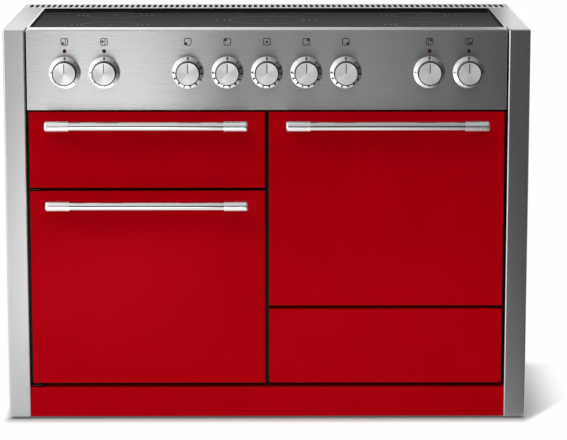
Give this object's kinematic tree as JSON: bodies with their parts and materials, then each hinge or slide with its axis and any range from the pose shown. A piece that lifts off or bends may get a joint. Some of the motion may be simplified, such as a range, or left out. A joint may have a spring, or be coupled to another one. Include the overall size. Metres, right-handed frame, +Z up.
{
  "type": "induction range",
  "caption": "Wide free-standing induction range: glass hob over a knob panel, side-hinged oven doors, glide-out grill and storage drawer.",
  "frame": {"origin": "on the floor, under the middle of the whole footprint, handles included", "axes": "+X to the range's right seen from the front, +Y from the front to the back, +Z up"},
  "size_m": [1.215, 0.6662, 0.923],
  "materials": {
    "brushed_steel": "fine horizontal brushed grain, satin",
    "polished_metal": "polished bright plating",
    "knob_metal": "turned face with fine circular grain",
    "red_enamel": "glossy vitreous enamel",
    "black_enamel": "satin black enamel",
    "oven_enamel": "speckled grey oven enamel",
    "hob_glass": "black glass ceramic, polished",
    "galvanised": "galvanised sheet",
    "rack_wire": "bright plated wire",
    "rubber": "matte black",
    "black_plastic": "moulded, fine texture",
    "lamp_red": "clear red lens",
    "copper": "varnished winding",
    "board": "circuit board green",
    "wool": "mineral wool",
    "heater": "dark heater sheath"
  },
  "bodies": {
    "cabinet": {"back_panel": "galvanised", "back_screws": "galvanised", "base_tray": "galvanised", "control_panel": "brushed_steel", "control_switches": "black_plastic", "door_seals": "rubber", "fan_baffles": "oven_enamel", "fan_motors": "galvanised", "fixed_runners": "galvanised", "front_feet": "black_plastic", "front_frame": "black_enamel", "grill_cavity": "oven_enamel", "heating_elements": "heater", "hinge_brackets": "galvanised", "hob_fan_housing": "black_plastic", "hob_glass": "hob_glass", "hob_tray": "brushed_steel", "indicator_lamps": "lamp_red", "induction_coils": "copper", "knob_bezels": "polished_metal", "left_oven_cavity": "oven_enamel", "left_side_panel": "brushed_steel", "oven_insulation": "wool", "oven_racks": "rack_wire", "plinth": "red_enamel", "power_boards": "board", "rack_ladders": "rack_wire", "rear_vent": "brushed_steel", "right_oven_cavity": "oven_enamel", "right_side_panel": "brushed_steel", "roller_brackets": "galvanised", "terminal_box": "black_plastic"},
    "left_door": {"left_door_panel": "red_enamel", "left_door_liner": "oven_enamel", "left_door_handle": "polished_metal"},
    "right_door": {"right_door_panel": "red_enamel", "right_door_liner": "oven_enamel", "right_door_handle": "polished_metal"},
    "grill_drawer": {"grill_front": "red_enamel", "grill_handle": "polished_metal", "grill_carriage": "galvanised", "grill_pan": "oven_enamel", "grill_trivet": "rack_wire"},
    "storage_drawer": {"storage_front": "red_enamel", "storage_tray": "galvanised"},
    "left_oven_fan": {"left_oven_fan": "galvanised"},
    "right_oven_fan": {"right_oven_fan": "galvanised"},
    "hob_fan": {"hob_fan": "black_plastic"},
    "left_rear_roller": {"left_rear_roller": "rubber"},
    "right_rear_roller": {"right_rear_roller": "rubber"},
    "knob_1": {"knob_1": "knob_metal"},
    "knob_2": {"knob_2": "knob_metal"},
    "knob_3": {"knob_3": "knob_metal"},
    "knob_4": {"knob_4": "knob_metal"},
    "knob_5": {"knob_5": "knob_metal"},
    "knob_6": {"knob_6": "knob_metal"},
    "knob_7": {"knob_7": "knob_metal"},
    "knob_8": {"knob_8": "knob_metal"},
    "knob_9": {"knob_9": "knob_metal"}
  },
  "joints": [
    {"name": "left_door_swing", "type": "hinge", "parent": "cabinet", "child": "left_door", "pos_m": [-0.5385, -0.26687, 0.088], "axis": [0, 0, -1], "range_deg": [0, 100]},
    {"name": "right_door_swing", "type": "hinge", "parent": "cabinet", "child": "right_door", "pos_m": [0.5385, -0.26687, 0.2735], "axis": [0, 0, 1], "range_deg": [0, 100]},
    {"name": "grill_slide", "type": "slide", "parent": "cabinet", "child": "grill_drawer", "axis": [0, -1, 0], "range_m": [0, 0.3]},
    {"name": "storage_slide", "type": "slide", "parent": "cabinet", "child": "storage_drawer", "axis": [0, -1, 0], "range_m": [0, 0.32]},
    {"name": "knob_1_turn", "type": "hinge", "parent": "cabinet", "child": "knob_1", "pos_m": [-0.4655, -0.27487, 0.8235], "axis": [0, 1, 0], "range_deg": [0, 270]},
    {"name": "knob_2_turn", "type": "hinge", "parent": "cabinet", "child": "knob_2", "pos_m": [-0.3745, -0.27487, 0.8235], "axis": [0, 1, 0], "range_deg": [0, 270]},
    {"name": "knob_3_turn", "type": "hinge", "parent": "cabinet", "child": "knob_3", "pos_m": [-0.182, -0.27487, 0.8235], "axis": [0, 1, 0], "range_deg": [0, 270]},
    {"name": "knob_4_turn", "type": "hinge", "parent": "cabinet", "child": "knob_4", "pos_m": [-0.091, -0.27487, 0.8235], "axis": [0, 1, 0], "range_deg": [0, 270]},
    {"name": "knob_5_turn", "type": "hinge", "parent": "cabinet", "child": "knob_5", "pos_m": [0, -0.27487, 0.8235], "axis": [0, 1, 0], "range_deg": [0, 270]},
    {"name": "knob_6_turn", "type": "hinge", "parent": "cabinet", "child": "knob_6", "pos_m": [0.091, -0.27487, 0.8235], "axis": [0, 1, 0], "range_deg": [0, 270]},
    {"name": "knob_7_turn", "type": "hinge", "parent": "cabinet", "child": "knob_7", "pos_m": [0.182, -0.27487, 0.8235], "axis": [0, 1, 0], "range_deg": [0, 270]},
    {"name": "knob_8_turn", "type": "hinge", "parent": "cabinet", "child": "knob_8", "pos_m": [0.3745, -0.27487, 0.8235], "axis": [0, 1, 0], "range_deg": [0, 270]},
    {"name": "knob_9_turn", "type": "hinge", "parent": "cabinet", "child": "knob_9", "pos_m": [0.4655, -0.27487, 0.8235], "axis": [0, 1, 0], "range_deg": [0, 270]},
    {"name": "left_oven_fan_spin", "type": "hinge", "parent": "cabinet", "child": "left_oven_fan", "pos_m": [-0.2775, 0.16392, 0.317], "axis": [0, 1, 0], "continuous": true},
    {"name": "right_oven_fan_spin", "type": "hinge", "parent": "cabinet", "child": "right_oven_fan", "pos_m": [0.2775, 0.16392, 0.5025], "axis": [0, 1, 0], "continuous": true},
    {"name": "hob_fan_spin", "type": "hinge", "parent": "cabinet", "child": "hob_fan", "pos_m": [0, -0.00187, 0.823], "axis": [0, 0, 1], "continuous": true},
    {"name": "left_roller_roll", "type": "hinge", "parent": "cabinet", "child": "left_rear_roller", "pos_m": [-0.4995, 0.23012, 0.016], "axis": [1, 0, 0], "continuous": true},
    {"name": "right_roller_roll", "type": "hinge", "parent": "cabinet", "child": "right_rear_roller", "pos_m": [0.4995, 0.23012, 0.016], "axis": [1, 0, 0], "continuous": true}
  ]
}
